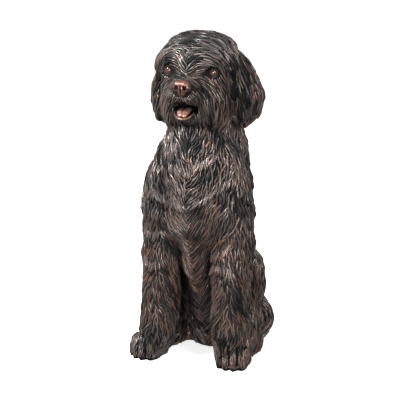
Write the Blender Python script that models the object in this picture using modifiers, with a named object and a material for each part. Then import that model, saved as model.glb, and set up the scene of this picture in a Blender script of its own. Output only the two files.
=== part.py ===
"""Seated long-haired dog, a garden statue cast in one piece.

The dog faces -Y, its left side is +X, and it rests on a flat underside at Z = 0.
The body is built the way a modeller builds it: plain masses are laid over each other and
melted together, the mouth and eye hollows are cut, the eyes, nose and tongue are set in,
and locks of hair are raised along the lie of the coat.
"""

import math

import bmesh
import bpy
import numpy as np
from mathutils import Matrix, Vector, kdtree, noise
from mathutils.bvhtree import BVHTree

STATUE_HEIGHT = 0.66  # floor to crown, in metres

# All proportions below are in thousandths of the statue's height, written as
# (across, back, up): across is positive on the dog's left, back runs from the toes to the
# tail, and up is the height above the floor.
SHARE = STATUE_HEIGHT / 1000

MELT_VOXEL = 5.6  # grid on which the masses are melted into one skin
SOFT_ROUNDS = 6  # smoothing rounds that round off the joins between masses
CRISP_ROUNDS = 1  # smoothing rounds once the face is cut
MASS_PITCH = 0.3  # step between swept masses, as a share of their smallest half size

LOCK_LENGTH = 96
LOCK_WIDTH = 42
LOCK_HEIGHT = 13
LOCK_SPACING = 38
LOCK_STEPS = 12
HEAD_LOCK_SCALE = 0.68
HEAD_FLOOR = 735  # the locks above this height are the head's
SWIRL = 0.55  # radians that the hair wanders from its lie
SWIRL_REACH = 95
FACE_COUNT = 9300  # triangles kept when the skin is thinned
FACE_PLACE = (0, -60, 840)
FACE_RADII = (100, 75, 90)
FACE_THINNING = 0.06  # how much the face is thinned, against the rest
FACE_HOLD = 20.0  # how strongly that difference counts
EYE_KEEP = 21  # round each eye's middle nothing is thinned
FLOOR_SNAP = 3.0  # what is this near the floor lies flat on it
MIDDLE = (-13.5, 179)  # middle of the outline from above, which is put over the origin
SEED = 7

EYE_PLACE = (65, -13, 892)
EYE_RADIUS = 15
SOCKET_PLACE = (68, -44, 890)
SOCKET_RADII = (33, 46, 26)
EAR_ROOT = 100
EAR_SPREADS = (46, 27)  # how far the left and the right ear stand out beyond their roots
EAR_FLARES = (20, 14)  # degrees by which their back edges stand out

# Where the hair lies which way: place, reach and direction, all on the dog's left and
# mirrored on its right.
COMB = (
    ((12, 40, 1000), (70, 80, 50), (1.0, -0.15, -0.35)),  # away from the parting
    ((30, -45, 955), (40, 40, 40), (0.9, 0.0, -0.5)),  # forehead
    ((95, 0, 930), (40, 50, 40), (0.5, 0.2, -1.0)),  # end of the brow
    ((20, 180, 880), (120, 60, 100), (0.2, 0.3, -1.0)),  # nape
    ((125, 70, 905), (40, 80, 60), (0.2, 0.2, -1.0)),  # side of the skull
    ((10, -45, 905), (24, 30, 24), (0.5, -0.1, -1.0)),  # between the eyes
    ((28, -60, 870), (26, 36, 20), (0.9, 0.6, -0.2)),  # bridge of the muzzle
    ((48, -50, 830), (30, 40, 30), (0.6, 0.5, -0.9)),  # side of the muzzle
    ((95, 10, 815), (50, 60, 55), (0.45, 0.1, -1.0)),  # cheek
    ((20, -40, 752), (40, 40, 20), (0.1, 0.2, -1.0)),  # chin
    ((150, 85, 830), (30, 70, 90), (0.05, 0.05, -1.0)),  # ear
    ((50, -30, 640), (60, 60, 60), (-0.45, 0.0, -1.0)),  # front of the mane
    ((120, 50, 620), (40, 70, 60), (0.1, -0.25, -1.0)),  # side of the mane
    ((30, -50, 440), (40, 60, 90), (-0.9, 0.0, -1.0)),  # breast, in a herringbone
    ((30, 60, 200), (40, 120, 150), (-0.9, 0.0, -1.0)),  # belly, the same
    ((160, 90, 500), (50, 90, 100), (0.0, -0.35, -1.0)),  # shoulder
    ((78, -10, 240), (30, 40, 160), (-0.35, 0.2, -1.0)),  # inside of the foreleg
    ((146, -10, 240), (30, 40, 160), (0.35, 0.25, -1.0)),  # outside of the foreleg
    ((125, 95, 290), (50, 50, 120), (0.1, 0.5, -1.0)),  # fringe behind the elbow
    ((112, -30, 45), (60, 60, 30), (0.0, -0.9, -0.6)),  # forepaw
    ((60, 230, 600), (120, 80, 150), (0.15, 0.35, -1.0)),  # back
    ((60, 380, 300), (120, 90, 150), (0.3, 0.4, -1.0)),  # rump
    ((175, 160, 270), (40, 80, 90), (0.0, -0.55, -1.0)),  # knee
    ((150, 280, 160), (50, 80, 90), (0.0, 0.25, -1.0)),  # thigh
    ((110, 270, 50), (60, 90, 40), (0.1, -1.0, -0.35)),  # hind foot and end of the tail
)

# Places without locks: the muzzle's end, the eyes, the toes and the underside.
BARE = (
    ((0, -96, 855), (34, 34, 32)),
    ((0, -80, 787), (46, 60, 26)),
    ((68, -34, 890), (33, 46, 26)),
    ((-68, -34, 890), (33, 46, 26)),
    ((116, 18, 810), (18, 44, 76)),
    ((-111, 18, 810), (18, 44, 76)),
    ((114, -4, 8), (62, 56, 34)),
    ((-158, 0, 8), (66, 58, 34)),
)

# Per foreleg: its side, how far out its shoulder lies, how far its paw stands out beyond
# the leg, and how many degrees the toes turn out.
FORELEGS = ((1, (97, 0, 3)), (-1, (104, 38, 20)))
# Toes of a forepaw: across, in front of the ankle, and half length.
TOES = ((-35, 24, 22), (-12, 36, 24), (12, 36, 24), (35, 24, 22))

BRONZE = (0.045, 0.030, 0.024)


def unit_ball():
    """Points and faces of a ball of radius 1, reused for every mass."""
    ball = bmesh.new()
    bmesh.ops.create_icosphere(ball, subdivisions=3, radius=1.0)
    points = np.array([vertex.co for vertex in ball.verts])
    faces = [[vertex.index for vertex in face.verts] for face in ball.faces]
    ball.free()
    return points, faces


class Clay:
    """Ellipsoids laid over each other, as one mesh still to be melted."""

    ball, ball_faces = unit_ball()

    def __init__(self):
        self.points = []
        self.faces = []
        self.count = 0

    def add(self, points, faces):
        self.points.append(points)
        self.faces.extend([[index + self.count for index in face] for face in faces])
        self.count += len(points)

    def blob(self, centre, radii, turn=0.0):
        """Adds one ellipsoid; turn is its rotation about the vertical, in degrees."""
        spin = np.array(Matrix.Rotation(math.radians(turn), 3, "Z"))
        self.add((self.ball * np.array(radii)) @ spin.T + np.array(centre), self.ball_faces)

    def sweep(self, stations, turn=0.0):
        """Lays ellipsoids along a chain of (centre, radii) stations."""
        for (start, thin), (end, thick) in zip(stations, stations[1:]):
            a, b = Vector(start), Vector(end)
            ra, rb = Vector(thin), Vector(thick)
            count = max(1, math.ceil((b - a).length / (MASS_PITCH * min(*ra, *rb))))
            for step in range(count):
                share = step / count
                self.blob(a.lerp(b, share), ra.lerp(rb, share), turn)
        self.blob(*stations[-1], turn)

    def mesh(self, name):
        mesh = bpy.data.meshes.new(name)
        mesh.from_pydata(np.concatenate(self.points).tolist(), [], self.faces)
        return mesh


def sided(stations, side):
    """The same stations on the dog's left (side 1) or right (side -1)."""
    return [((side * x, y, z), radii) for (x, y, z), radii in stations]


def torso(clay):
    clay.sweep([
        ((0, 92, 790), (88, 96, 60)),
        ((0, 116, 710), (98, 102, 60)),
        ((0, 120, 640), (120, 122, 80)),
        ((0, 92, 540), (124, 144, 100)),
        ((0, 100, 450), (122, 148, 100)),
        ((0, 165, 370), (114, 150, 100)),
        ((0, 230, 270), (112, 150, 110)),
        ((0, 282, 150), (112, 150, 130)),
        ((0, 290, 30), (104, 140, 90)),
    ])
    clay.sweep([
        ((0, 84, 400), (84, 82, 70)),
        ((0, 112, 320), (80, 82, 60)),
        ((0, 156, 250), (76, 80, 60)),
        ((0, 204, 165), (78, 78, 60)),
        ((0, 250, 80), (86, 78, 60)),
        ((0, 268, 10), (92, 80, 50)),
    ])
    clay.sweep([
        ((2, 22, 455), (50, 62, 50)),
        ((3, 36, 390), (46, 62, 50)),
        ((3, 56, 330), (44, 62, 50)),
        ((2, 88, 270), (44, 66, 50)),
        ((0, 120, 210), (44, 66, 50)),
        ((0, 152, 150), (48, 66, 50)),
        ((0, 190, 80), (54, 66, 50)),
        ((0, 222, 20), (62, 66, 40)),
    ])


def mane(clay):
    """The mane hangs from the throat and ends in a point on the breast."""
    clay.sweep([
        ((0, 44, 715), (76, 70, 50)),
        ((0, 26, 650), (90, 76, 50)),
        ((0, 8, 580), (84, 70, 50)),
        ((0, 2, 508), (44, 60, 40)),
    ])
    for side in (-1, 1):
        clay.sweep(sided([((52, 50, 660), (50, 58, 46)), ((92, 60, 590), (48, 62, 50))], side))


def foreleg(clay, side, shoulder, ankle_out, toe_out):
    """A foreleg hangs from a shoulder this far out, and its paw stands ankle_out further."""
    clay.sweep(sided([
        ((shoulder - 10, 66, 560), (60, 88, 70)),
        ((shoulder, 60, 480), (59, 86, 80)),
        ((106, 54, 390), (55, 70, 70)),
        ((109, 38, 310), (54, 60, 56)),
        ((110, 28, 230), (52, 54, 50)),
        ((109 + 0.04 * ankle_out, 26, 150), (52, 52, 46)),
        ((110 + 0.25 * ankle_out, 32, 90), (50, 50, 40)),
        ((112 + 0.7 * ankle_out, 42, 50), (48, 52, 34)),
    ], side))
    ankle = Vector((side * (114 + ankle_out), 50, 0))
    out = Matrix.Rotation(math.radians(side * toe_out), 3, "Z")
    for centre, radii in (((0, 0, 20), (47, 52, 44)), ((0, -12, 16), (47, 44, 40))):
        clay.blob(ankle + out @ Vector(centre), radii, side * toe_out)
    for across, forward, length in TOES:
        clay.blob(ankle + out @ Vector((across, -forward, 20)), (14, length, 34), side * toe_out)


def toe_grooves(clay, side, ankle_out, toe_out):
    ankle = Vector((side * (114 + ankle_out), 50, 0))
    out = Matrix.Rotation(math.radians(side * toe_out), 3, "Z")
    for (left, a, _), (right, b, _) in zip(TOES, TOES[1:]):
        place = ankle + out @ Vector(((left + right) / 2, -max(a, b) - 24, 30))
        clay.blob(place, (4.5, 26, 34), side * toe_out)


def hind_leg(clay, side):
    clay.sweep(sided([
        ((118, 150, 278), (48, 54, 58)),
        ((114, 156, 232), (54, 62, 84)),
        ((98, 192, 208), (56, 80, 104)),
        ((73, 246, 165), (54, 88, 112)),
    ], side))
    clay.sweep(sided([((132, 100, 78), (28, 44, 74)), ((126, 164, 72), (36, 54, 104))], side))
    clay.sweep(sided([((107, 222, 18), (30, 50, 36)), ((98, 290, 26), (40, 50, 40))], side))
    for across, forward in ((-20, 20), (-7, 28), (7, 28), (20, 20)):
        clay.blob((side * 106 + across, 216 - forward, 14), (11, 20, 24))


def tail(clay):
    """The tail comes round the rump on the dog's left and ends behind the hind foot."""
    clay.sweep([
        ((0, 400, 120), (44, 40, 44)),
        ((22, 416, 70), (46, 44, 46)),
        ((54, 386, 60), (50, 50, 52)),
        ((80, 342, 66), (52, 52, 56)),
        ((106, 300, 64), (52, 54, 52)),
    ])


def head(clay):
    clay.blob((0, 66, 872), (119, 108, 118))
    clay.blob((0, 74, 946), (99, 88, 50))
    clay.blob((0, 18, 922), (96, 64, 66))
    clay.blob((0, 20, 800), (80, 82, 70))
    clay.sweep([((0, 0, 856), (46, 54, 42)), ((0, -60, 848), (37, 30, 34))])
    clay.sweep([((0, 20, 768), (52, 50, 28)), ((0, -38, 765), (39, 32, 18))])
    for side in (-1, 1):
        clay.sweep(sided([((24, -24, 930), (26, 20, 22)), ((66, -6, 924), (28, 22, 22))], side))
        clay.blob((side * 89, 32, 900), (29, 44, 38))
        clay.blob((side * 21, -66, 830), (25, 27, 24))
        clay.sweep(sided([
            ((50, -8, 842), (24, 28, 24)),
            ((60, -8, 802), (26, 30, 38)),
            ((50, 0, 762), (30, 38, 32)),
        ], side))
        clay.sweep(sided([
            ((74, 34, 850), (32, 44, 40)),
            ((72, 28, 806), (34, 52, 54)),
            ((62, 44, 754), (34, 54, 36)),
        ], side))
    clay.sweep([((0, -34, 932), (20, 22, 22)), ((0, -32, 902), (18, 22, 20))])


def ear(clay, side, spread, flare):
    """A folded ear, widest at two thirds of its length."""
    clay.sweep(sided([
        ((EAR_ROOT, 74, 920), (20, 32, 22)),
        ((EAR_ROOT + 0.36 * spread, 80, 886), (20, 46, 30)),
        ((EAR_ROOT + 0.62 * spread, 85, 848), (20, 57, 34)),
        ((EAR_ROOT + spread, 87, 810), (20, 60, 34)),
        ((EAR_ROOT + 0.91 * spread, 84, 776), (19, 52, 32)),
        ((EAR_ROOT + 0.6 * spread, 80, 750), (18, 31, 24)),
    ], side), turn=-side * flare)
    clay.blob((side * EAR_ROOT, 96, 800), (26, 40, 48))


def melted(clay, rounds=0, cutter=None):
    """Melts overlapping masses into one closed skin, and cuts the cutter out of it."""
    lump = bpy.data.objects.new("lump", clay.mesh("lump"))
    bpy.context.scene.collection.objects.link(lump)
    remesh = lump.modifiers.new("melt", "REMESH")
    remesh.mode = "VOXEL"
    remesh.voxel_size = MELT_VOXEL
    smooth = lump.modifiers.new("soften", "SMOOTH")
    smooth.factor = 0.5
    smooth.iterations = round(rounds)
    helpers = [lump]
    if cutter:
        helpers.append(bpy.data.objects.new("knife", cutter))
        bpy.context.scene.collection.objects.link(helpers[1])
        cut = lump.modifiers.new("cut", "BOOLEAN")
        cut.operation = "DIFFERENCE"
        cut.solver = "EXACT"
        cut.object = helpers[1]
    bpy.context.view_layer.update()
    graph = bpy.context.evaluated_depsgraph_get()
    skin = bpy.data.meshes.new_from_object(lump.evaluated_get(graph))
    for helper in helpers:
        bpy.data.objects.remove(helper)
    return skin


def body_clay():
    clay = Clay()
    torso(clay)
    mane(clay)
    for side, leg in FORELEGS:
        foreleg(clay, side, *leg)
    hind_leg(clay, 1)
    hind_leg(clay, -1)
    tail(clay)
    head(clay)
    for side, spread, flare in zip((1, -1), EAR_SPREADS, EAR_FLARES):
        ear(clay, side, spread, flare)
    return clay


def hollows():
    clay = Clay()
    clay.sweep([((-27, -62, 796), (15, 48, 12)), ((27, -62, 796), (15, 48, 12))])
    clay.blob((0, -60, 789), (35, 46, 17))
    for side, (shoulder, ankle_out, toe_out) in FORELEGS:
        toe_grooves(clay, side, ankle_out, toe_out)
    for side, spread, flare in zip((1, -1), EAR_SPREADS, EAR_FLARES):
        clay.blob((side * SOCKET_PLACE[0], *SOCKET_PLACE[1:]), SOCKET_RADII)
        gap = EAR_ROOT - 8 + 0.4 * spread
        clay.sweep(sided([
            ((gap - 2, 10, 872), (7, 24, 18)),
            ((gap, 12, 845), (10, 30, 24)),
            ((gap + 2, 14, 790), (11, 32, 28)),
            ((gap + 2, 16, 738), (11, 28, 26)),
        ], side), turn=-side * flare / 2)
    return clay


def set_in_face(clay):
    for side in (-1, 1):
        clay.blob((side * EYE_PLACE[0], *EYE_PLACE[1:]), (EYE_RADIUS,) * 3)
    clay.sweep([((-12, -88, 862), (16, 17, 18)), ((12, -88, 862), (16, 17, 18))])
    clay.blob((0, -87, 847), (14, 14, 14))
    clay.sweep([((0, -20, 777), (25, 30, 8)), ((0, -56, 774), (25, 22, 7))])


def arrays(mesh):
    points = np.empty(len(mesh.vertices) * 3)
    mesh.vertices.foreach_get("co", points)
    return points.reshape(-1, 3), [tuple(face.vertices) for face in mesh.polygons]


def lie_of_hair(place, normal):
    """Unit direction along the skin in which the hair lies at a place."""
    side = -1 if place.x < 0 else 1
    lie = Vector((0, 0, -0.02))
    for (x, y, z), (rx, ry, rz), (dx, dy, dz) in COMB:
        away = ((side * place.x - x) / rx) ** 2 + ((place.y - y) / ry) ** 2
        away += ((place.z - z) / rz) ** 2
        weight = math.exp(-0.5 * away)
        lie += weight * Vector((side * dx, dy, dz)).normalized()
    lie -= lie.dot(normal) * normal
    if lie.length < 1e-6:
        lie = normal.orthogonal()
    wander = SWIRL * 2 * noise.noise(place / SWIRL_REACH)
    return (Matrix.Rotation(wander, 3, normal) @ lie).normalized()


def is_bare(place):
    if place.z < 12:
        return True
    for centre, radii in BARE:
        if sum(((p - c) / r) ** 2 for p, c, r in zip(place, centre, radii)) < 1:
            return True
    return False


def lock_roots(points, rng):
    """Places spread evenly over the skin, closer together on the head."""
    taken = {}
    roots = []
    for index in rng.permutation(len(points)):
        place = Vector(points[index])
        if is_bare(place):
            continue
        scale = HEAD_LOCK_SCALE if place.z > HEAD_FLOOR else 1.0
        apart = LOCK_SPACING * scale
        cell = tuple(int(c // LOCK_SPACING) for c in place)
        near = [
            other
            for i in (-1, 0, 1)
            for j in (-1, 0, 1)
            for k in (-1, 0, 1)
            for other in taken.get((cell[0] + i, cell[1] + j, cell[2] + k), ())
        ]
        if all((place - other).length > apart for other in near):
            taken.setdefault(cell, []).append(place)
            roots.append((place, scale))
    return roots


def raise_locks(mesh):
    """Raises locks on the skin: each starts low, widens, and ends in a proud narrow tip."""
    points, faces = arrays(mesh)
    skin = BVHTree.FromPolygons(points.tolist(), faces)
    near = kdtree.KDTree(len(points))
    for index, point in enumerate(points):
        near.insert(point, index)
    near.balance()
    normals = np.array([vertex.normal for vertex in mesh.vertices])
    rng = np.random.default_rng(SEED)
    rise = np.zeros(len(points))
    for place, scale in lock_roots(points, rng):
        height = LOCK_HEIGHT * (0.5 + 0.5 * scale) * rng.uniform(0.55, 1.1)
        length = LOCK_LENGTH * scale * rng.uniform(0.8, 1.2)
        for step in range(round(LOCK_STEPS) + 1):
            place, normal, _, _ = skin.find_nearest(place)
            share = step / LOCK_STEPS
            if is_bare(place):
                break
            half = LOCK_WIDTH / 2 * scale * (1 - 0.8 * share**2.5)
            crest = height * (0.3 + 0.7 * share)
            for _, index, far in near.find_range(place, half):
                if normals[index] @ np.array(normal) > 0.2:
                    level = crest * (1 - (far / half) ** 2)
                    rise[index] = max(rise[index], level)
            place = place + lie_of_hair(place, normal) * (length / LOCK_STEPS)
    mesh.vertices.foreach_set("co", (points + normals * rise[:, None]).ravel())
    mesh.update()


def set_on_floor(mesh, near=0.0):
    points, _ = arrays(mesh)
    points[points[:, 2] < near, 2] = 0.0
    mesh.vertices.foreach_set("co", points.ravel())
    mesh.update()


def thinned(mesh):
    """The skin with only as many triangles as a reusable part needs, most of them in the face."""
    mesh.calc_loop_triangles()
    lump = bpy.data.objects.new("lump", mesh)
    bpy.context.scene.collection.objects.link(lump)
    points, _ = arrays(mesh)
    inside = (((points - np.array(FACE_PLACE)) / np.array(FACE_RADII)) ** 2).sum(axis=1) < 1
    group = lump.vertex_groups.new(name="thinning")
    group.add(np.flatnonzero(~inside).tolist(), 1.0, "REPLACE")
    group.add(np.flatnonzero(inside).tolist(), FACE_THINNING, "REPLACE")
    for side in (-1, 1):
        eye = np.array((side * EYE_PLACE[0], *EYE_PLACE[1:]))
        close = np.linalg.norm(points - eye, axis=1) < EYE_KEEP
        group.add(np.flatnonzero(close).tolist(), 0.0, "REPLACE")
    thin = lump.modifiers.new("thin", "DECIMATE")
    thin.vertex_group = group.name
    thin.vertex_group_factor = FACE_HOLD
    thin.ratio = FACE_COUNT / len(mesh.loop_triangles)
    thin.use_collapse_triangulate = True
    bpy.context.view_layer.update()
    graph = bpy.context.evaluated_depsgraph_get()
    result = bpy.data.meshes.new_from_object(lump.evaluated_get(graph))
    bpy.data.objects.remove(lump)
    return result


def bronze():
    material = bpy.data.materials.new("dark_bronze_finish")
    material.use_nodes = True
    shader = material.node_tree.nodes["Principled BSDF"]
    shader.inputs["Base Color"].default_value = (*BRONZE, 1)
    shader.inputs["Roughness"].default_value = 0.45
    shader.inputs["Metallic"].default_value = 0.5
    return material


def main():
    for obj in list(bpy.data.objects):
        bpy.data.objects.remove(obj)

    soft = melted(body_clay(), SOFT_ROUNDS, melted(hollows()))
    clay = Clay()
    clay.add(*arrays(soft))
    set_in_face(clay)
    skin = melted(clay, CRISP_ROUNDS)
    raise_locks(skin)
    set_on_floor(skin)
    skin = thinned(skin)
    set_on_floor(skin, FLOOR_SNAP)

    skin.transform(Matrix.Scale(SHARE, 4) @ Matrix.Translation((-MIDDLE[0], -MIDDLE[1], 0)))
    skin.shade_smooth()
    skin.materials.append(bronze())
    parts = bpy.data.collections.new("parts")
    bpy.context.scene.collection.children.link(parts)
    parts.objects.link(bpy.data.objects.new("dog_statue", skin))


main()
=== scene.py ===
"""Looks of the seated dog statue: the carved coat, the face, and the hand-rubbed bronze finish.

Lengths named in "shares" are thousandths of the statue's height, measured from the point on
the floor under the dog's paws: across (positive on the dog's left), back, and up.
"""

import math

import bmesh
import bpy
import numpy as np
from bpy.props import FloatProperty, FloatVectorProperty, PointerProperty
from mathutils import Matrix, Vector, noise
from mathutils.bvhtree import BVHTree


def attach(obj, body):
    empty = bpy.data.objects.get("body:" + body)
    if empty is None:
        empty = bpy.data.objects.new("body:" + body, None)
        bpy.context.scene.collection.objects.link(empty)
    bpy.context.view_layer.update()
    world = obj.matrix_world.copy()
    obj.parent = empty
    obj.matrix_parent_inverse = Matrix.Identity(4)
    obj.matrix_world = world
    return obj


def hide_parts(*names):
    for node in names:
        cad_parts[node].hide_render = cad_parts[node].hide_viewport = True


bl_info = {
    "name": "Seated dog statue",
    "version": (1, 0, 0),
    "blender": (4, 5, 0),
    "location": "View3D > Sidebar > Dog statue",
    "description": "Carved coat, face and hand-rubbed bronze finish of a seated dog statue",
    "category": "Object",
}

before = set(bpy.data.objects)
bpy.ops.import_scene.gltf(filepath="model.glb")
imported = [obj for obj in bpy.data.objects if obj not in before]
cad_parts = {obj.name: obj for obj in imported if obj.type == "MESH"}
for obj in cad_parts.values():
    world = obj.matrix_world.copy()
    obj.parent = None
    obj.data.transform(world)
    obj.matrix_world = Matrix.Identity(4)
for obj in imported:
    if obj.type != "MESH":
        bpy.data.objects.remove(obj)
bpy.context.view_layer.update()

MIDDLE = Vector((-13.5, 179, 0))  # where the frame's origin lies, in shares
SEED = 11


def linear_colour(text):
    """Linear RGBA of an sRGB hex colour."""
    levels = [int(text[i : i + 2], 16) / 255 for i in (1, 3, 5)]
    return [v / 12.92 if v <= 0.04045 else ((v + 0.055) / 1.055) ** 2.4 for v in levels] + [1]


def size_prop(name, description, default_mm):
    return FloatProperty(
        name=name, description=description, default=default_mm / 1000, unit="LENGTH"
    )


def colour_prop(name, description, text):
    return FloatVectorProperty(
        name=name, description=description, size=4, subtype="COLOR", default=linear_colour(text)
    )


class DogSizes(bpy.types.PropertyGroup):
    height: size_prop("Height", "Floor to crown; every share is a thousandth of it", 660)
    skin_grid: size_prop("Skin grid", "Cell of the skin under the locks", 3.1)
    lock_length: size_prop("Lock length", "A full lock of the body's coat", 36)
    lock_width: size_prop("Lock width", "A full lock of the body's coat", 6.2)
    lock_height: size_prop("Lock height", "How far a lock stands proud of the skin", 3.0)
    lock_spacing: size_prop("Lock spacing", "Between neighbouring locks, side by side", 4.95)
    eye_radius: size_prop("Eye radius", "Of the eyeball", 9.4)


class DogColours(bpy.types.PropertyGroup):
    # Also the colour of the painted shade in the gaps, hollows and recesses.
    recess: colour_prop("Recess", "Black-green wash left in the grooves", "#0d1211")
    ground: colour_prop("Ground", "Dark green-black base coat", "#232526")
    rubbed: colour_prop("Rubbed", "Rose-brown where the crests are rubbed", "#88746c")
    copper: colour_prop("Copper", "Orange copper of the most rubbed crests", "#b67c5f")
    # The colour of the painted grey highlights on the head, mane, trunk and right forepaw.
    silver: colour_prop("Silver", "Grey sheen on head, mane and right forepaw", "#aca8a4")
    nose: colour_prop("Nose", "Reddish copper of the nose leather", "#875f57")
    eye: colour_prop("Eye", "Dark copper of the polished eyeballs", "#7b5a51")
    tongue: colour_prop("Tongue", "Pale copper of the tongue", "#bd8c7b")
    lip: colour_prop("Lip", "Duller copper along the lower lip", "#7a5f4e")
    floor: colour_prop("Floor", "Pale studio floor", "#f4f4f4")


# Where the hair lies which way: place, reach, direction, and lock length and width against a
# full lock's, in shares, on the dog's left and mirrored on its right.
COMB = (
    ((16, 30, 1000), (60, 80, 40), (0.8, -0.45, -0.3), 1.09, 0.72),  # away from the parting
    ((26, -50, 946), (15, 28, 16), (0.6, 0.0, 0.8), 0.96, 0.71),  # inner brow, up and out
    ((58, -38, 964), (30, 34, 18), (1.0, 0.1, 0.05), 1.09, 0.71),  # over the eye
    ((60, -50, 930), (30, 30, 14), (1.0, 0.1, 0.1), 0.9, 0.69),  # brow's lower edge
    ((104, -12, 930), (26, 38, 30), (0.5, 0.3, -0.9), 0.9, 0.69),  # outer end of the brow
    ((112, 4, 885), (24, 40, 34), (0.1, 0.1, -1.0), 0.83, 0.69),  # temple
    ((7, -54, 930), (14, 26, 24), (0.15, 0.1, 1.0), 0.96, 0.73),  # tuft between the brows
    ((22, -56, 893), (22, 34, 16), (0.75, 0.1, 0.3), 0.7, 0.56),  # bridge, up to the eye
    ((16, -70, 876), (20, 26, 12), (0.9, 0.3, 0.1), 0.45, 0.42),  # behind the nose
    ((60, -30, 862), (26, 30, 16), (0.9, 0.3, -0.45), 0.83, 0.61),  # under the eye
    ((36, -56, 850), (20, 30, 18), (0.85, 0.3, -0.7), 0.79, 0.59),  # side of the muzzle
    ((20, -84, 826), (20, 20, 16), (0.5, 0.2, -0.85), 0.45, 0.38),  # whisker pads
    ((58, -30, 806), (26, 34, 34), (0.4, 0.05, -1.0), 1.02, 0.69),  # jowl
    ((94, 8, 845), (34, 46, 36), (0.6, 0.15, -0.85), 1.09, 0.72),  # cheek
    ((86, 15, 778), (38, 50, 35), (0.05, 0.0, -1.0), 1.15, 0.74),  # lower cheek
    ((14, -60, 758), (28, 36, 16), (0.15, -0.3, -1.0), 0.55, 0.53),  # chin
    ((20, 180, 880), (120, 60, 100), (0.2, 0.3, -1.0), 0.9, 0.95),  # nape
    ((122, 70, 925), (40, 80, 50), (0.4, 0.1, -1.0), 0.9, 0.7),  # side of the skull
    ((146, 80, 830), (30, 70, 90), (0.03, 0.05, -1.0), 0.9, 0.73),  # ear
    ((30, -30, 660), (30, 50, 60), (-0.15, 0.0, -1.0), 0.95, 0.85),  # front of the mane
    ((84, -10, 640), (40, 50, 60), (-0.6, -0.1, -1.0), 1.0, 0.9),  # mane, inward to its point
    ((128, 60, 620), (40, 60, 70), (0.0, -0.3, -1.0), 1.0, 0.95),  # side of the mane
    ((24, -50, 540), (50, 50, 34), (-0.7, 0.0, -1.0), 0.8, 0.8),  # point of the mane
    ((24, -30, 400), (26, 60, 90), (-0.8, 0.0, -0.9), 0.8, 0.62),  # breast, in a herringbone
    ((24, 80, 200), (26, 100, 150), (-0.8, 0.0, -0.9), 0.8, 0.62),  # belly, the same
    ((160, 90, 500), (50, 90, 100), (0.0, -0.35, -1.0), 1.0, 0.95),  # shoulder
    ((100, -20, 430), (50, 50, 60), (-0.25, -0.1, -1.0), 0.95, 0.85),  # top of the foreleg
    ((78, -10, 240), (30, 40, 160), (-0.35, 0.2, -1.0), 0.85, 0.8),  # inside of the foreleg
    ((146, -10, 240), (30, 40, 160), (0.35, 0.25, -1.0), 0.85, 0.8),  # outside of the foreleg
    ((125, 95, 290), (50, 50, 120), (0.1, 0.5, -1.0), 0.95, 0.9),  # fringe behind the elbow
    ((116, 0, 74), (60, 60, 14), (0.0, -0.9, -0.6), 0.55, 0.6),  # forepaw
    ((122, -4, 30), (60, 44, 24), (0.15, -0.6, -1.0), 0.26, 0.4),  # toes
    ((60, 230, 600), (120, 80, 150), (0.15, 0.35, -1.0), 1.1, 1.1),  # back
    ((60, 380, 300), (120, 90, 150), (0.3, 0.4, -1.0), 1.1, 1.1),  # rump
    ((175, 160, 270), (40, 80, 90), (0.0, -0.55, -1.0), 0.9, 0.85),  # knee
    ((150, 280, 160), (50, 80, 90), (0.0, 0.25, -1.0), 1.0, 0.95),  # thigh
    ((110, 270, 50), (60, 90, 40), (0.1, -1.0, -0.35), 0.85, 0.85),  # hind foot, tail's end
)
# Within this reach a lock is also painted darker, as painted shade.
RECESS_REACH = 85  # shares within which other parts of the body keep the cloth off
SWIRLS = ((0.42, 75), (0.34, 30))  # how many radians a full lock wanders, over which shares
CALM_WIDTH = 0.55  # a lock this narrow against a full one doesn't wander at all
STRETCH = 2.55  # locks in a row lie this much farther apart than side by side
WAVE = 0.32  # how far a lock swings from side to side, against its step
SWING_STEP = 0.9  # radians that the swing goes on at each step
CUT_SHORT = 0.15  # of a step is left of each step that would lie in a bare place
SUNK = 0.6  # shares that a lock's foot lies under the skin
OFF_FLOOR = 0.3  # shares that every lock stays above the floor
RUB_REACH = 55  # shares across a patch that the cloth rubs alike
LOW_COAT, LOW_COPPER = 400, 0.14  # below this height the coat is more coppery, by so much

# Places without locks, besides the grooves of the toes: nose, mouth, eyes, and the shaded
# gaps between cheeks and ears, where the dark skin is painted shade. Each is a middle and
# half sizes.
BARE = (
    ((0, -100, 856), (30, 26, 24)),
    ((-4, -62, 792), (40, 66, 28)),
    ((67, -28, 892), (21, 32, 17)),
    ((-67, -28, 892), (21, 32, 17)),
    ((113, 8, 815), (9, 36, 56)),
    ((111, 10, 765), (11, 36, 50)),
    ((107, 18, 728), (11, 40, 26)),
    ((114, 24, 872), (6, 30, 36)),
    ((-108, 8, 808), (11, 36, 72)),
)
SOLE = 7  # no locks below this height

CROWN_FROM = 950  # above this the skin is lowered, as the locks add their own height
CROWN_SQUEEZE = 0.9
SKIN_ROUNDS = 5  # of smoothing, which take the solid's facets off
SHADED_TRUNK = (100, 500)  # heights between which the gaps in the coat are painted a little lighter

LEG_OUT, ANKLE_BACK = 114, 50  # where a foreleg meets the floor, across and back
# Per forepaw: its side, how far it stands out beyond the leg, and how far its toes turn out.
PAWS = ((1, 0, 3), (-1, 38, 20))
# Toes of a forepaw: across, in front of the ankle, and half length.
TOES = ((-35, 24, 22), (-12, 36, 24), (12, 36, 24), (35, 24, 22))
TOE_GAPS = ((-23.5, 56), (0, 64), (23.5, 56))  # grooves between them: across, in front

EYES = (66, -8, 892)  # the left eyeball's middle

# A lock from root to tip: its width and height against the full ones.
LOCK_WIDTHS = (0.22, 0.60, 0.86, 1.0, 1.0, 0.96, 0.84, 0.56, 0.10)
LOCK_HEIGHTS = (0.05, 0.45, 0.76, 0.93, 1.0, 1.0, 0.95, 0.78, 0.20)
# What a tuft or a fringe adds to those heights: its tips stand proud and end in a step.
TIP_RISE = (0.0, 0.0, 0.08, 0.2, 0.38, 0.58, 0.8, 0.9, 0.7)
TUFT_REACH = 42  # shares across a tuft of the body's coat
TUFT_WIDTH = 0.75  # only locks wider than this against a full one stand in tufts
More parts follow.
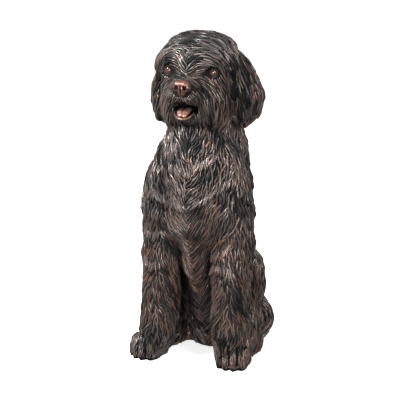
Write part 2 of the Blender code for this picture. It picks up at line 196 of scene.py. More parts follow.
# Edges where one layer of the coat ends over the next: across and up, seen from the front.
FRINGES = (
    ((-152, 520), (-100, 500), (-58, 492), (4, 484), (30, 500), (73, 526), (137, 572)),
    ((60, 330), (100, 342), (134, 395)),
    ((58, 290), (96, 300), (140, 282)),
    ((-150, 300), (-112, 286), (-76, 304)),
    ((-150, 400), (-110, 380), (-80, 392)),
    ((-70, 612), (-20, 590), (30, 600), (80, 640)),
)
FRINGE_STEP = 6.5  # shares from lock to lock along an edge
FRINGE_ABOVE = 16  # shares from an edge up to the middle of its locks
FRINGE_LOCK = (0.85, 0.95, 1.5)  # its locks' length and width, and how far the tips stand up

# Across a lock: place against its half width, height against its crest, and how rubbed it is.
LOCK_SECTION = (
    (-1.0, -0.35, 0.0),
    (-0.62, 0.60, 0.62),
    (-0.05, 1.0, 1.0),
    (0.55, 0.70, 0.75),
    (1.0, -0.35, 0.0),
)
FINE_SECTION = ((-1.0, -0.35, 0.0), (-0.42, 0.92, 0.9), (0.42, 0.88, 0.9), (1.0, -0.35, 0.0))
FINE_WIDTH = 0.76  # a piece whose locks are narrower than this on the whole has fewer sides

# Where the crests are painted pale grey rather than copper, as painted highlights: place, reach
# and strength.
PAINTED_HIGHLIGHTS = (
    ((-30, -10, 975), (110, 80, 60), 0.6),
    ((5, -56, 932), (24, 40, 26), 1.0),
    ((36, -46, 950), (34, 40, 22), 1.0),
    ((-30, -66, 874), (34, 40, 18), 0.9),
    ((-60, -40, 850), (50, 60, 50), 0.5),
    ((0, -50, 590), (60, 60, 70), 0.35),
    ((-110, 0, 500), (60, 60, 60), 0.45),
    ((-150, 20, 60), (70, 60, 50), 0.75),
)
# Where the crests are painted lighter or darker than elsewhere, as painted light and shade: place,
# reach and how much.
PAINTED_LIGHT_AND_SHADE = (
    ((0, 40, 1010), (120, 90, 36), -0.3),
    ((0, -30, 600), (90, 60, 70), -0.15),
    ((0, -40, 360), (40, 60, 120), 0.3),
    ((116, 0, 40), (60, 60, 34), 0.4),
    ((-170, 0, 40), (60, 60, 34), 0.4),
)

# The studio: each light's place and size across in metres, and its power in watts.
LIGHTS = (
    ("key_softbox", (-1.6, -1.7, 2.5), 0.9, 200),
    ("fill_softbox", (2.2, -2.0, 1.5), 0.9, 50),
    ("low_softbox", (0.5, -3.0, 0.8), 0.9, 45),
    ("rim_softbox", (1.2, 2.0, 2.2), 1.2, 40),
)
ROOM_LIGHT = 0.28  # strength of the even white light from all round
FLOOR_HALF, FLOOR_CORNERS = 30, ((-1, -1), (1, -1), (1, 1), (-1, 1))  # metres
# The photograph's camera: how far round to the dog's left, and how far above, in degrees.
CAMERA_TURN, CAMERA_RISE = 19, 15
CAMERA_TARGET, CAMERA_AWAY = (2, 60, 497), 4200
FILM_MM, LENS_MM = 36, 128.25


def statue():
    return bpy.context.scene.dog_statue_sizes


def colours():
    return bpy.context.scene.dog_statue_colours


def share():
    return statue().height / 1000


def at(x, y, z):
    """A place in shares as metres in the frame."""
    return (Vector((x, y, z)) - MIDDLE) * share()


# ---------------------------------------------------------------- materials


def add_node(tree, kind, inputs=None, **settings):
    """Adds a node; an input is a value, or a (node, output) pair to link from."""
    node = tree.nodes.new(kind)
    for key, value in settings.items():
        setattr(node, key, value)
    for key, value in (inputs or {}).items():
        if isinstance(value, tuple) and isinstance(value[0], bpy.types.Node):
            tree.links.new(value[0].outputs[value[1]], node.inputs[key])
        else:
            node.inputs[key].default_value = value
    return node


def new_material(name):
    material = bpy.data.materials.new(name)
    material.use_nodes = True
    tree = material.node_tree
    return material, tree, tree.nodes["Principled BSDF"]


def scale_of(mm):
    """Noise scale, in features a metre, for features of this size."""
    return 1000 / mm


def rubbed_bronze():
    """Cold-cast bronze: green-black base coat over resin, a darker wash left in the grooves,
    and copper wax rubbed by hand over the crests. The eye reads the depth of the carving by
    it: nearly black gaps, and warm semi-gloss streaks along every lock. The masks that place
    the wash and the wax also carry painted shade in the recesses, painted light and shade by
    region, and painted grey highlights."""
    material, tree, shader = new_material("rubbed_bronze_resin")
    c = colours()
    rub = add_node(tree, "ShaderNodeAttribute", attribute_name="rub")
    tint = add_node(tree, "ShaderNodeAttribute", attribute_name="tint")
    # How much painted grey highlight a crest has.
    painted_highlight_amount = add_node(tree, "ShaderNodeAttribute", attribute_name="silver")
    place = add_node(tree, "ShaderNodeTexCoord")
    # A hand's stroke with the cloth is some 90 mm long, and the wax skips every 5 mm or so.
    strokes = add_node(tree, "ShaderNodeTexNoise", {
        "Vector": (place, "Object"), "Scale": scale_of(90), "Detail": 2.0})
    skips = add_node(tree, "ShaderNodeTexNoise", {
        "Vector": (place, "Object"), "Scale": scale_of(5), "Detail": 3.0})
    cloth = add_node(tree, "ShaderNodeMath", {
        0: (strokes, "Fac"), 1: (skips, "Fac")}, operation="MULTIPLY")
    held = add_node(tree, "ShaderNodeMapRange", {
        "Value": (cloth, "Value"), "From Min": 0.1, "From Max": 0.42,
        "To Min": 0.25, "To Max": 1.0})
    crests = add_node(tree, "ShaderNodeMath", {0: (rub, "Fac"), 1: 1.5}, operation="POWER")
    waxed_and_painted_light = add_node(tree, "ShaderNodeMath", {
        0: (crests, "Value"), 1: (held, "Result")}, operation="MULTIPLY")
    hue = add_node(tree, "ShaderNodeMix", {
        "Factor": (tint, "Fac"), 6: list(c.rubbed), 7: list(c.copper)}, data_type="RGBA")
    # The painted grey highlights are mixed into the wax's colour here.
    wax = add_node(tree, "ShaderNodeMix", {
        "Factor": (painted_highlight_amount, "Fac"), 6: (hue, 2), 7: list(c.silver)}, data_type="RGBA")
    coat = add_node(tree, "ShaderNodeMix", {
        "Factor": (rub, "Fac"), 6: list(c.recess), 7: list(c.ground)}, data_type="RGBA")
    paint = add_node(tree, "ShaderNodeMix", {
        "Factor": (waxed_and_painted_light, "Value"), 6: (coat, 2), 7: (wax, 2)}, data_type="RGBA")
    tree.links.new(paint.outputs[2], shader.inputs["Base Color"])
    gloss = add_node(tree, "ShaderNodeMapRange", {
        "Value": (rub, "Fac"), "To Min": 0.7, "To Max": 0.3})
    tree.links.new(gloss.outputs["Result"], shader.inputs["Roughness"])
    # The wash in the grooves is matt and soaks up light.
    sheen = add_node(tree, "ShaderNodeMapRange", {
        "Value": (rub, "Fac"), "From Max": 0.5, "To Min": 0.08, "To Max": 0.5})
    tree.links.new(sheen.outputs["Result"], shader.inputs["Specular IOR Level"])
    # The wax holds metal powder, the base coat next to none.
    metal = add_node(tree, "ShaderNodeMapRange", {
        "Value": (waxed_and_painted_light, "Value"), "To Min": 0.15, "To Max": 0.75})
    tree.links.new(metal.outputs["Result"], shader.inputs["Metallic"])
    # A thin clear lacquer gives the white glints along the crests.
    tree.links.new(rub.outputs["Fac"], shader.inputs["Coat Weight"])
    shader.inputs["Coat Roughness"].default_value = 0.22
    # The casting's grain is some 0.3 mm, drawn at 1.6 mm, as coarse as it needs to show.
    grain = add_node(tree, "ShaderNodeTexNoise", {
        "Vector": (place, "Object"), "Scale": scale_of(1.6), "Detail": 2.0})
    bump = add_node(tree, "ShaderNodeBump", {
        "Height": (grain, "Fac"), "Strength": 0.25, "Distance": 0.0004})
    tree.links.new(bump.outputs["Normal"], shader.inputs["Normal"])
    return material


def burnished_copper(name, colour, roughness):
    """The same casting where it is polished: copper wax laid on full, glossy and even, with
    the dark wash left only in its hollows. It gives the face its wet nose and live eyes."""
    material, tree, shader = new_material(name)
    place = add_node(tree, "ShaderNodeTexCoord")
    dabs = add_node(tree, "ShaderNodeTexNoise", {
        "Vector": (place, "Object"), "Scale": scale_of(6), "Detail": 3.0})
    rub = add_node(tree, "ShaderNodeAttribute", attribute_name="rub")
    held = add_node(tree, "ShaderNodeMapRange", {
        "Value": (dabs, "Fac"), "From Min": 0.3, "From Max": 0.7,
        "To Min": 0.6, "To Max": 1.0})
    wax = add_node(tree, "ShaderNodeMath", {
        0: (rub, "Fac"), 1: (held, "Result")}, operation="MULTIPLY")
    paint = add_node(tree, "ShaderNodeMix", {
        "Factor": (wax, "Value"), 6: list(colours().recess), 7: list(colour)}, data_type="RGBA")
    tree.links.new(paint.outputs[2], shader.inputs["Base Color"])
    shader.inputs["Roughness"].default_value = roughness
    shader.inputs["Metallic"].default_value = 0.6
    return material


def studio_floor():
    """Matt white paper with a glow of its own, which gives the eye a plain pale ground on
    which only the softest shadow shows."""
    material, _, shader = new_material("white_paper_sweep")
    shader.inputs["Base Color"].default_value = list(colours().floor)
    shader.inputs["Roughness"].default_value = 0.9
    shader.inputs["Emission Color"].default_value = linear_colour("#ffffff")
    shader.inputs["Emission Strength"].default_value = 0.72
    return material


# ---------------------------------------------------------------- meshes


def unit_ball(rings=3):
    ball = bmesh.new()
    bmesh.ops.create_icosphere(ball, subdivisions=rings, radius=1.0)
    points = np.array([v.co for v in ball.verts])
    faces = [[v.index for v in f.verts] for f in ball.faces]
    ball.free()
    return points, faces


class Clay:
    """Ellipsoids in shares laid over each other, still to be melted into one mesh."""

    ball, ball_faces = unit_ball()

    def __init__(self):
        self.points, self.faces, self.count = [], [], 0

    def add(self, points, faces):
        self.points.append(np.asarray(points, float))
        self.faces.extend([[i + self.count for i in face] for face in faces])
        self.count += len(points)

    def blob(self, centre, radii, turn=(0, 0, 0)):
        spin = np.array(Matrix.Rotation(0, 3, "X"))
        for angle, axis in zip(turn, "XYZ"):
            spin = np.array(Matrix.Rotation(math.radians(angle), 3, axis)) @ spin
        self.add((self.ball * np.array(radii)) @ spin.T + np.array(centre), self.ball_faces)

    def sweep(self, stations, pitch=0.3, turn=(0, 0, 0)):
        for (a, ra), (b, rb) in zip(stations, stations[1:]):
            a, b, ra, rb = map(Vector, (a, b, ra, rb))
            count = max(1, math.ceil((b - a).length / (pitch * min(*ra, *rb))))
            for step in range(count):
                self.blob(a.lerp(b, step / count), ra.lerp(rb, step / count), turn)
        self.blob(*stations[-1], turn)

    def mesh(self, name):
        mesh = bpy.data.meshes.new(name)
        mesh.from_pydata(np.concatenate(self.points).tolist(), [], self.faces)
        return mesh


def sided(stations, side):
    return [((side * x, y, z), radii) for (x, y, z), radii in stations]


def modelled(mesh, *modifiers):
    """The mesh with modifiers, each (type, settings), run on it."""
    helper = bpy.data.objects.new("helper", mesh)
    bpy.context.scene.collection.objects.link(helper)
    others = []
    for kind, settings in modifiers:
        modifier = helper.modifiers.new(kind.lower(), kind)
        for key, value in settings.items():
            if isinstance(value, bpy.types.Mesh):
                value = bpy.data.objects.new("cutter", value)
                bpy.context.scene.collection.objects.link(value)
                others.append(value)
            setattr(modifier, key, value)
    bpy.context.view_layer.update()
    graph = bpy.context.evaluated_depsgraph_get()
    result = bpy.data.meshes.new_from_object(helper.evaluated_get(graph))
    for obj in [helper, *others]:
        bpy.data.objects.remove(obj)
    return result


def melted(clay, cell, rounds=1, cutter=None):
    steps = [("REMESH", {"mode": "VOXEL", "voxel_size": cell})]
    if rounds:
        steps.append(("SMOOTH", {"factor": 0.5, "iterations": rounds}))
    if cutter:
        steps.append(("BOOLEAN", {"operation": "DIFFERENCE", "solver": "EXACT", "object": cutter}))
    return modelled(clay.mesh("clay"), *steps)


def arrays(mesh):
    points = np.empty(len(mesh.vertices) * 3)
    mesh.vertices.foreach_get("co", points)
    return points.reshape(-1, 3), [tuple(face.vertices) for face in mesh.polygons]


def vertex_normals(mesh):
    normals = np.empty(len(mesh.vertices) * 3)
    mesh.vertices.foreach_get("normal", normals)
    return normals.reshape(-1, 3)


def finish(mesh, **values):
    """Stores how rubbed a mesh is, painted light and shade included, how tinted, and how much
    painted grey highlight it has: one value, or one for each point.
    """
    for name, value in values.items():
        value = np.broadcast_to(np.asarray(value, np.float32), len(mesh.vertices))
        mesh.attributes.new(name, "FLOAT", "POINT").data.foreach_set("value", value.copy())


def within(places, centre, radii):
    """Squared distance from a centre, 1 on the ellipsoid with these radii."""
    return (((places - np.array(centre)) / np.array(radii)) ** 2).sum(axis=1)


def add_piece(name, mesh, material, replaced=()):
    """Puts a mesh in shares on the statue as a piece of it."""
    mesh.transform(Matrix.Scale(share(), 4) @ Matrix.Translation(-MIDDLE))
    mesh.name = name
    mesh.shade_smooth()
    mesh.materials.clear()
    mesh.materials.append(material)
    piece = bpy.data.objects.new(name, mesh)
    bpy.context.scene.collection.objects.link(piece)
    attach(piece, "root")
    for node in replaced:
        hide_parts(node)
    return piece


def bronze():
    return bpy.data.materials.get("rubbed_bronze_resin") or rubbed_bronze()


# ---------------------------------------------------------------- skin and coat


def paws():
    """Each forepaw's ankle on the floor, and how its toes turn: matrix, and degrees."""
    for side, ankle_out, toe_out in PAWS:
        turn = side * toe_out
        ankle = Vector((side * (LEG_OUT + ankle_out), ANKLE_BACK, 0))
        yield ankle, Matrix.Rotation(math.radians(turn), 3, "Z"), turn


def toe_grooves():
    """Grooves between and over the toes: place, half sizes, and turn in degrees."""
    for ankle, out, turn in paws():
        for across, forward in TOE_GAPS:
            yield ankle + out @ Vector((across, -forward, 48)), (4.2, 30, 34), turn
        for across, forward, _ in TOES:
            place = Vector((across, -forward - 8, 78 - abs(across) * 0.2))
            yield ankle + out @ place, (13, 18, 5), turn


def carved_hollows():
    """What is cut from the solid: its nose, the open mouth, the gaps before the ears, the
    parting, the eye hollows and the grooves of the toes."""
    clay = Clay()
    clay.sweep([((-12, -100, 858), (20, 16, 26)), ((12, -100, 858), (20, 16, 26))])
    clay.sweep([((-31, -56, 797), (14, 46, 15)), ((22, -56, 797), (14, 46, 15))])
    clay.sweep([((-16, -64, 782), (18, 40, 17)), ((8, -64, 782), (18, 40, 17))])
    for side, gap, turn in ((1, 110, -10), (-1, 103, 7)):
        clay.sweep(sided([
            ((gap - 2, 6, 872), (8, 26, 18)),
            ((gap, 8, 845), (11, 31, 24)),
            ((gap + 2, 10, 790), (12, 33, 30)),
            ((gap + 2, 12, 740), (12, 30, 24)),
        ], side), turn=(0, 0, turn))
    clay.sweep([
        ((0, 70, 994), (4.5, 12, 7)),
        ((0, 0, 978), (5, 12, 7)),
        ((-2, -48, 946), (4.5, 8, 7)),
    ])
    for side in (-1, 1):
        clay.blob((side * 67, -36, 892), (18, 26, 15))
    for centre, radii, turn in toe_grooves():
        clay.blob(centre, radii, (0, 0, turn))
    return clay


def laid_masses():
    """What is laid on the solid in finer shape: the whisker pads and the toes."""
    clay = Clay()
    for side in (-1, 1):
        clay.blob((side * 18, -72, 829), (22, 23, 20))
    for ankle, out, turn in paws():
        for across, forward, length in TOES:
            toe = ankle + out @ Vector((across, -forward - 3, 18))
            clay.blob(toe, (11, length + 8, 52), (0, 0, turn))
    return clay


def skin_mesh():
    """The statue's solid on a fine grid, carved, and with its facets rounded off."""
    points, faces = arrays(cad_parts["dog_statue"].data)
    points = points / share() + np.array(MIDDLE)
    high = points[:, 2] > CROWN_FROM
    points[high, 2] = CROWN_FROM + (points[high, 2] - CROWN_FROM) * CROWN_SQUEEZE
    solid = Clay()
    solid.add(points, faces)
    cell = statue().skin_grid / share()
    cut = melted(solid, cell, rounds=0, cutter=melted(carved_hollows(), cell, 0))
    clay = Clay()
    clay.add(*arrays(cut))
    clay.add(*arrays(laid_masses().mesh("masses")))
    skin = melted(clay, cell, rounds=SKIN_ROUNDS)
    for vertex in skin.vertices:
        vertex.co.z = max(vertex.co.z, 0)
    return skin


def combed(places, normals):
    """Directions in which the hair lies at places of the skin, and the lock sizes there."""
    side = np.where(places[:, 0] < 0, -1.0, 1.0)
    mirrored = places * np.stack([side, np.ones_like(side), np.ones_like(side)], axis=1)
    lie = np.zeros_like(places)
    lie[:, 2] = -0.01
    size = np.full((len(places), 2), 0.01)
    total = np.full((len(places), 1), 0.01)
    for place, reach, direction, *lock in COMB:
        weight = np.exp(-0.5 * within(mirrored, place, reach))
        lie += weight[:, None] * np.array(Vector(direction).normalized())
        size += weight[:, None] * np.array(lock)
        total += weight[:, None]
    lie[:, 0] *= side
    lie -= (lie * normals).sum(axis=1)[:, None] * normals
    lie /= np.maximum(np.linalg.norm(lie, axis=1), 1e-6)[:, None]
    size /= total
    wander = np.zeros(len(places))
    for turn, reach in SWIRLS:
        wander += np.array([noise.noise(Vector(p) / reach) for p in places]) * 2 * turn
    wander *= np.clip((size[:, 1] - CALM_WIDTH) / (1 - CALM_WIDTH), 0, 1)
    cross = np.cross(normals, lie)
    lie = lie * np.cos(wander)[:, None] + cross * np.sin(wander)[:, None]
    return lie, size


def in_bare(places):
    bare = places[:, 2] < SOLE
    for centre, radii in BARE:
        bare |= within(places, centre, radii) < 1
    for centre, radii, turn in toe_grooves():
        unturned = np.array(Matrix.Rotation(math.radians(turn), 3, "Z"))
        bare |= within((places - np.array(centre)) @ unturned, (0, 0, 0), radii) < 1
    return bare


def spread_roots(places, lie, size, bare, spacing, rng):
    """Indices of places spread evenly, farther apart along the hair than side by side."""
    cell = spacing * STRETCH
    taken, roots = {}, []
    around = [(i, j, k) for i in (-1, 0, 1) for j in (-1, 0, 1) for k in (-1, 0, 1)]
    squeeze = 1 - (size[:, 1] / (STRETCH * size[:, 0])) ** 2
    for index in rng.permutation(len(places)):
        if bare[index]:
            continue
        x, y, z = places[index]
        lx, ly, lz = lie[index]
        apart, less = (spacing * size[index, 1]) ** 2, squeeze[index]
        home = (int(x // cell), int(y // cell), int(z // cell))
        for i, j, k in around:
            for ox, oy, oz in taken.get((home[0] + i, home[1] + j, home[2] + k), ()):
                dx, dy, dz = x - ox, y - oy, z - oz
                along = dx * lx + dy * ly + dz * lz
                if dx * dx + dy * dy + dz * dz - along * along * less < apart:
                    break
            else:
                continue
            break
        else:
            taken.setdefault(home, []).append((x, y, z))
            roots.append(index)
    return roots


def open_air(tree, place, up):
    """How much of the space over a place is free, from 0 to 1: a cloth reaches only there, and a
    lock with less free space is painted darker, as painted shade.
    """
    one = up.orthogonal().normalized()
    other = up.cross(one)
    free = 0
    for a, b in ((0, 0), (1, 0), (-1, 0), (0, 1), (0, -1), (0.5, 0.5), (-0.5, 0.5)):
        way = (up + 1.1 * (a * one + b * other)).normalized()
        hit, _, _, _ = tree.ray_cast(place + up * 3, way, RECESS_REACH)
        free += hit is None
    return free / 7


def fringe_roots(tree, rng):
    """Middles of the locks along the edges where one layer ends over the next."""
    for edge in FRINGES:
        for (xa, za), (xb, zb) in zip(edge, edge[1:]):
            count = math.ceil(math.hypot(xb - xa, zb - za) / FRINGE_STEP)
            for step in range(count):
                part = (step + rng.uniform(-0.3, 0.3)) / count
                x, z = xa + (xb - xa) * part, za + (zb - za) * part + rng.uniform(-4, 4)
                before = Vector((x, -400, z + FRINGE_ABOVE))
                hit, _, _, _ = tree.ray_cast(before, Vector((0, 1, 0)))
                if hit:
                    yield (hit, *FRINGE_LOCK)


def lock_lines(mesh):
    """Every lock over the skin: the points and normals of its middle line, its size, how far
    its tip stands up, and how free the air over it is."""
    rng = np.random.default_rng(SEED)
    points, faces = arrays(mesh)
    tree = BVHTree.FromPolygons(points.tolist(), faces)
    corners = np.array([face[:3] for face in faces])
    centres = points[corners].mean(axis=1)
    normals = vertex_normals(mesh)[corners].mean(axis=1)
    normals /= np.linalg.norm(normals, axis=1)[:, None]
    lie, size = combed(centres, normals)
    bare = in_bare(centres)
    roots = spread_roots(centres, lie, size, bare, statue().lock_spacing / share(), rng)
    half = len(LOCK_WIDTHS) // 2

    def walk(place, stride, phase, sway):
        """Half a lock, with the hair, or against it when the stride is negative."""
        heading, line, ups = None, [], []
        for step in range(half + 1):
            near, _, index, _ = tree.find_nearest(place)
            if bare[index]:
                break
            up, way = Vector(normals[index]), Vector(lie[index])
            if heading is not None:
                way = (way + heading).normalized()
            heading = way
            line.append(near)
            ups.append(up)
            bend = math.copysign(step * SWING_STEP, stride)
            swing = up.cross(way) * (sway * math.cos(phase + bend))
            place = near + (way + swing).normalized() * stride
        while 0 < len(line) <= half:
            onward = (line[-1] - line[-2]) * CUT_SHORT if len(line) > 1 else Vector()
            line.append(line[-1] + onward)
            ups.append(ups[-1])
        return line, ups

    full = statue().lock_length / share()
    starts = [(Vector(centres[root]), *size[root], None) for root in roots]
    starts += fringe_roots(tree, rng)
    lines, line_normals, sizes, lifts, airs = [], [], [], [], []
    for place, length, width, lift in starts:
        stride = full * length * rng.uniform(0.75, 1.2) / (2 * half)
        phase = rng.uniform(0, 2 * math.pi)
        if lift is None:
            tuft = 0.35 + 1.6 * noise.noise(place / TUFT_REACH)
            lift = np.clip(tuft, 0, 1) * (width > TUFT_WIDTH)
        sway = WAVE * np.clip((width - CALM_WIDTH) * 3, 0.25, 1)
        back, back_ups = walk(place, -stride, phase, sway)
        on, on_ups = walk(place, stride, phase, sway)
        if not back or not on:
            continue
        lines.append(back[:0:-1] + on)
        line_normals.append(back_ups[:0:-1] + on_ups)
        sizes.append(width)
        lifts.append(lift)
        airs.append(open_air(tree, on[0], on_ups[0]))
    return tuple(map(np.array, (lines, line_normals, sizes, lifts, airs)))


def ridge_faces(count, steps, ring, flip):
    """Faces of closed ridges whose points run ridge by ridge, step by step, round the ring."""
    base = (np.arange(count) * steps * ring)[:, None, None]
    row = (np.arange(steps - 1) * ring)[None, :, None]
    here = np.arange(ring)[None, None, :]
    there = (here + 1) % ring
    corners = [row + here, row + there, row + ring + there, row + ring + here]
    sides = np.stack([base + corner for corner in corners], axis=-1).reshape(count, -1, 4)
    sides[flip] = sides[flip][:, :, ::-1]
    caps = []
    for index in range(count):
        root = [index * steps * ring + i for i in range(ring)]
        tip = [i + (steps - 1) * ring for i in root]
        caps += [root, tip[::-1]] if flip[index] else [root[::-1], tip]
    return sides.reshape(-1, 4).tolist() + caps


def lock_mesh(lines, ups, sizes, lifts, airs, rng):
    """Closed tapered ridges along the lines, with how rubbed each point of them is, painted
    light and shade included.
    """
    count, steps, _ = lines.shape
    along = np.gradient(lines, axis=1)
    along /= np.maximum(np.linalg.norm(along, axis=2), 1e-6)[..., None]
    across = np.cross(along, ups)
    across /= np.maximum(np.linalg.norm(across, axis=2), 1e-6)[..., None]
    half = statue().lock_width / share() / 2 * sizes * rng.uniform(0.8, 1.2, count)
    high = statue().lock_height / share() * sizes**0.4 * rng.uniform(0.65, 1.25, count)
    widths = half[:, None] * np.array(LOCK_WIDTHS)
    heights = high[:, None] * (np.array(LOCK_HEIGHTS) + lifts[:, None] * np.array(TIP_RISE))
    section = np.array(FINE_SECTION if sizes.mean() < FINE_WIDTH else LOCK_SECTION)
    ring = len(section)
    lean = rng.choice((-1.0, 1.0), count)
    points = (
        lines[:, :, None, :]
        + across[:, :, None, :]
        * (widths[..., None] * section[:, 0])[..., None]
        * lean[:, None, None, None]
        + ups[:, :, None, :] * (heights[..., None] * section[:, 1])[..., None]
        - ups[:, :, None, :] * SUNK
    )
    points[..., 2] = np.maximum(points[..., 2], OFF_FLOOR)
    mesh = bpy.data.meshes.new("locks")
    faces = ridge_faces(count, steps, ring, lean > 0)
    mesh.from_pydata(points.reshape(-1, 3).tolist(), [], faces)

    middle = lines[:, steps // 2]
    patch = np.array([noise.noise(Vector(p) / RUB_REACH) for p in middle])
    wear_and_painted_light = 0.15 + 0.85 * rng.uniform(0, 1, count) ** np.where(sizes < FINE_WIDTH, 1.7, 1.2)
    # Painted light and shade by region: a darker crown and mane, a lighter column and forepaws.
    for place, reach, strength in PAINTED_LIGHT_AND_SHADE:
        wear_and_painted_light += strength * np.exp(-0.5 * within(middle, place, reach))
    wear_and_painted_light = np.clip(wear_and_painted_light + 0.45 * patch + 0.15 * lifts, 0.08, 1)
    # Locks in recesses are less rubbed, and this also paints the recess's shade on them.
    wear_and_painted_light *= np.clip(airs * 2.0 - 0.15, 0.1, 1)
    rub = wear_and_painted_light[:, None, None] * np.array(LOCK_HEIGHTS)[None, :, None] * section[:, 2]
    copper = rng.normal(0.22, 0.32, count) + LOW_COPPER * (middle[:, 2] < LOW_COAT)
    # The painted grey highlights, each lock's a little weaker at random.
    painted_highlight_amount = np.zeros(count)
    for place, reach, strength in PAINTED_HIGHLIGHTS:
        painted_highlight_amount = np.maximum(painted_highlight_amount, strength * np.exp(-0.5 * within(middle, place, reach)))
    painted_highlight_amount *= rng.uniform(0.4, 1, count)
    finish(
        mesh,
        rub=np.clip(rub, 0, 1).ravel(),
        tint=np.repeat(np.clip(copper, 0, 1), steps * ring),
        silver=np.repeat(painted_highlight_amount, steps * ring),
    )
    return mesh


class DOG_OT_skin(bpy.types.Operator):
    """Builds the skin under the coat, with the mouth, eye hollows and toes carved"""

    bl_idname = "dog_statue.skin"
    bl_label = "Skin"

    def execute(self, context):
        mesh = skin_mesh()
        heights = arrays(mesh)[0][:, 2]
        trunk = (heights > SHADED_TRUNK[0]) & (heights < SHADED_TRUNK[1])
        # The skin shows only in gaps, hollows and bare places. It is painted nearly the wash's
        # black-green: the wash in the grooves, and painted shade in the gaps between locks, the
        # eye hollows and the gaps before the ears.
        finish(mesh, rub=np.where(trunk, 0.16, 0.03), tint=0.2, silver=0)
        add_piece("skin", mesh, bronze(), replaced=["dog_statue"])
        return {"FINISHED"}


class DOG_OT_coat(bpy.types.Operator):
    """Lays the carved locks over the skin along the comb of the coat"""

    bl_idname = "dog_statue.coat"
    bl_label = "Coat"

    def execute(self, context):
        skin = bpy.data.objects["skin"].data.copy()
        skin.transform(Matrix.Translation(MIDDLE) @ Matrix.Scale(1 / share(), 4))
        skin.update()
        locks = lock_lines(skin)
        bpy.data.meshes.remove(skin)
        out, back, up = locks[0][:, len(LOCK_WIDTHS) // 2].T
        # The coat is parted at the chin, the elbows, the temples, and half way back.
        head, legs = up > 735, up < 330
        ears = head & (np.abs(out) > 100)
        skull, trunk = head & ~ears, ~head & ~legs
        groups = {
            "locks_face": skull & (back < 40),
            "locks_crown": skull & (back >= 40),
            "locks_ears": ears,
            "locks_trunk_front": trunk & (back < 90),
            "locks_trunk_back": trunk & (back >= 90),
            "locks_forelegs": legs & (back < 110),
            "locks_hindquarters": legs & (back >= 110),
        }
        rng = np.random.default_rng(SEED + 1)
        for name, chosen in groups.items():
            mesh = lock_mesh(*(values[chosen] for values in locks), rng)
            add_piece(name, mesh, bronze())
        return {"FINISHED"}


# ---------------------------------------------------------------- face


def eyelid_ring(place, side, radius):
    """Stations round an eyeball, thicker and lower over its top."""
    for step in range(25):
        angle = 2 * math.pi * step / 24
        upper = max(0.0, math.sin(angle))
        out = Vector((
            side * math.cos(angle) * radius * 1.02,
            -radius * 0.64 + 3.0 * abs(math.cos(angle)),
            math.sin(angle) * radius * (0.92 - 0.12 * upper),
        ))
        thick = 2.4 + 1.8 * upper
        yield place + out, (thick, thick * 1.3, thick * 0.9)


class DOG_OT_eyes(bpy.types.Operator):
    """Sets the polished eyeballs between their dark lids"""

    bl_idname = "dog_statue.eyes"
    bl_label = "Eyes"

    def execute(self, context):
        radius = statue().eye_radius / share()
        polish = burnished_copper("burnished_copper_eye", colours().eye, 0.12)
        for side, name in ((1, "left"), (-1, "right")):
            place = Vector((side * EYES[0], *EYES[1:]))
            ball = Clay()
            # Its polish would show the facets of the coarser ball.
            ball.ball, ball.ball_faces = unit_ball(4)
            ball.blob(place, (radius,) * 3)
            mesh = ball.mesh("eye")
            finish(mesh, rub=1)
            add_piece("eye_" + name, mesh, polish)
            lids = Clay()
            lids.sweep(list(eyelid_ring(place, side, radius)), 0.5)
            mesh = melted(lids, 1.0, 2)
            # The lids are painted dark, which also paints the shade round the eye.
            finish(mesh, rub=0.18, tint=0.4, silver=0)
            add_piece("eyelids_" + name, mesh, bronze())
        return {"FINISHED"}


class DOG_OT_nose(bpy.types.Operator):
    """Models the nose leather with its nostrils and middle groove"""

    bl_idname = "dog_statue.nose"
    bl_label = "Nose"

    def execute(self, context):
        clay = Clay()
        clay.sweep([((-10, -88, 866), (16, 17, 14)), ((10, -88, 866), (16, 17, 14))])
        clay.sweep([((0, -88, 858), (19, 18, 14)), ((0, -86, 843), (11.5, 15, 11))])
        for side in (-1, 1):
            clay.blob((side * 15.5, -88, 859), (11.5, 16, 13.5))
        holes = Clay()
        holes.sweep([((0, -107, 862), (1.3, 5, 8)), ((0, -102, 838), (1.6, 6, 8))])
        for side in (-1, 1):
            holes.blob((side * 12.5, -104, 860), (5.8, 11, 7.5))
            holes.sweep(sided([
                ((15, -101, 857), (3.6, 7, 3)),
                ((26, -93, 853), (2.6, 7, 2)),
            ], side))
        mesh = melted(clay, 1.1, 3, melted(holes, 0.8, 0))
        points, _ = arrays(mesh)
        proud = np.clip((-84 - points[:, 1]) / 12, 0, 1)
        hollow = np.zeros(len(points), bool)
        for (x, y, z), radii in (
            ((12, -104, 860), (5.8, 12, 7.2)),
            ((0, -106, 852), (2.2, 8, 22)),
        ):
            for side in (-1, 1):
                hollow |= within(points, (side * x, y, z), radii) < 1
        finish(mesh, rub=np.where(hollow, 0.05, 0.25 + 0.75 * proud))
        leather = burnished_copper("burnished_copper_nose", colours().nose, 0.34)
        add_piece("nose", mesh, leather)
        return {"FINISHED"}


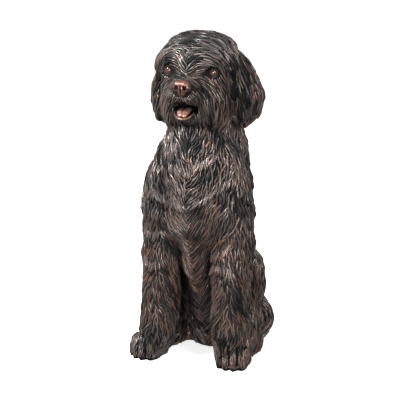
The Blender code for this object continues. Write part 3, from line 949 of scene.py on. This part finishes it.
class DOG_OT_mouth(bpy.types.Operator):
    """Lays the grooved tongue and the polished lower lip in the open mouth"""

    bl_idname = "dog_statue.mouth"
    bl_label = "Mouth"

    def execute(self, context):
        polish = burnished_copper("burnished_copper_tongue", colours().tongue, 0.26)
        dull = burnished_copper("burnished_copper_lip", colours().lip, 0.34)
        clay = Clay()
        clay.sweep([
            ((-5, -26, 788), (17, 12, 7)),
            ((-5, -46, 788), (19, 14, 7)),
            ((-5, -64, 784), (19, 12, 7)),
            ((-5, -75, 776), (15, 8, 7)),
        ])
        groove = Clay()
        groove.sweep([
            ((-5, -28, 799), (3, 8, 6)),
            ((-5, -56, 796), (2.5, 10, 6)),
            ((-5, -68, 790), (1.5, 4, 4)),
        ])
        mesh = melted(clay, 1.2, 3, melted(groove, 1.0, 0))
        points, _ = arrays(mesh)
        # The tongue is painted lighter at the front, as a painted highlight, darker towards the
        # back of the mouth, as painted shade, and darker along its middle groove.
        front = np.clip((-30 - points[:, 1]) / 30, 0, 1)
        dark = np.exp(-(((points[:, 0] + 5) / 4) ** 2)) * 0.7
        finish(mesh, rub=np.clip(0.15 + 0.85 * front - dark, 0, 1))
        add_piece("tongue", mesh, polish)
        lip = Clay()
        arc = []
        for step in range(17):
            angle = math.pi * (0.1 + 0.8 * step / 16)
            x = math.cos(angle) * 31 - 4
            y = -50 - 30 * math.sin(angle)
            z = 789 - 23 * math.sin(angle)
            thick = 0.8 + 3.6 * math.sin(angle)
            arc.append(((x, y, z), (thick, thick, thick)))
        lip.sweep(arc, 0.5)
        mesh = melted(lip, 1.0, 2)
        finish(mesh, rub=0.85)
        add_piece("lower_lip", mesh, dull)
        return {"FINISHED"}


# ---------------------------------------------------------------- stage


class DOG_OT_stage(bpy.types.Operator):
    """Sets the floor, the soft studio lights and the photograph's camera"""

    bl_idname = "dog_statue.stage"
    bl_label = "Stage"

    def execute(self, context):
        scene = context.scene
        floor_mesh = bpy.data.meshes.new("floor")
        corners = [(x * FLOOR_HALF, y * FLOOR_HALF, 0) for x, y in FLOOR_CORNERS]
        floor_mesh.from_pydata(corners, [], [(0, 1, 2, 3)])
        floor_mesh.materials.append(studio_floor())
        floor = bpy.data.objects.new("floor", floor_mesh)
        scene.collection.objects.link(floor)
        # The paper is lit for the picture's ground alone, and its glow stays off the statue.
        floor.visible_diffuse = False
        floor.visible_glossy = False
        world = bpy.data.worlds.new("studio")
        world.use_nodes = True
        background = world.node_tree.nodes["Background"]
        background.inputs["Color"].default_value = linear_colour("#ffffff")
        background.inputs["Strength"].default_value = ROOM_LIGHT
        scene.world = world
        target = at(0, 90, 520)
        for name, place, size, power in LIGHTS:
            light = bpy.data.lights.new(name, "AREA")
            light.shape = "DISK"
            light.size = size
            light.energy = power
            lamp = bpy.data.objects.new(name, light)
            lamp.location = place
            lamp.rotation_euler = (Vector(place) - target).to_track_quat("Z", "Y").to_euler()
            scene.collection.objects.link(lamp)
        turn, rise = math.radians(CAMERA_TURN), math.radians(CAMERA_RISE)
        back = Vector((
            math.sin(turn) * math.cos(rise),
            -math.cos(turn) * math.cos(rise),
            math.sin(rise),
        ))
        camera = bpy.data.objects.new("camera", bpy.data.cameras.new("camera"))
        camera.data.sensor_width = FILM_MM
        camera.data.lens = LENS_MM
        camera.location = at(*CAMERA_TARGET) + back * (CAMERA_AWAY * share())
        camera.rotation_euler = back.to_track_quat("Z", "Y").to_euler()
        scene.collection.objects.link(camera)
        scene.camera = camera
        scene.view_settings.view_transform = "Standard"
        return {"FINISHED"}


class DOG_PT_panel(bpy.types.Panel):
    """Lists the steps that build the statue's looks"""

    bl_label = "Dog statue"
    bl_idname = "DOG_PT_panel"
    bl_space_type = "VIEW_3D"
    bl_region_type = "UI"
    bl_category = "Dog statue"

    def draw(self, context):
        for group in (context.scene.dog_statue_sizes, context.scene.dog_statue_colours):
            for key in group.bl_rna.properties.keys():
                if key not in ("rna_type", "name"):
                    self.layout.prop(group, key)
        for operator in OPERATORS:
            self.layout.operator(operator.bl_idname)


OPERATORS = (
    DOG_OT_skin,
    DOG_OT_coat,
    DOG_OT_eyes,
    DOG_OT_nose,
    DOG_OT_mouth,
    DOG_OT_stage,
)
CLASSES = (DogSizes, DogColours, *OPERATORS, DOG_PT_panel)


def register():
    for cls in CLASSES:
        bpy.utils.register_class(cls)
    bpy.types.Scene.dog_statue_sizes = PointerProperty(type=DogSizes)
    bpy.types.Scene.dog_statue_colours = PointerProperty(type=DogColours)


def unregister():
    del bpy.types.Scene.dog_statue_colours
    del bpy.types.Scene.dog_statue_sizes
    for cls in reversed(CLASSES):
        bpy.utils.unregister_class(cls)


def main():
    register()
    for operator in OPERATORS:
        getattr(bpy.ops.dog_statue, operator.bl_idname.split(".")[1])()


if __name__ == "__main__":
    main()
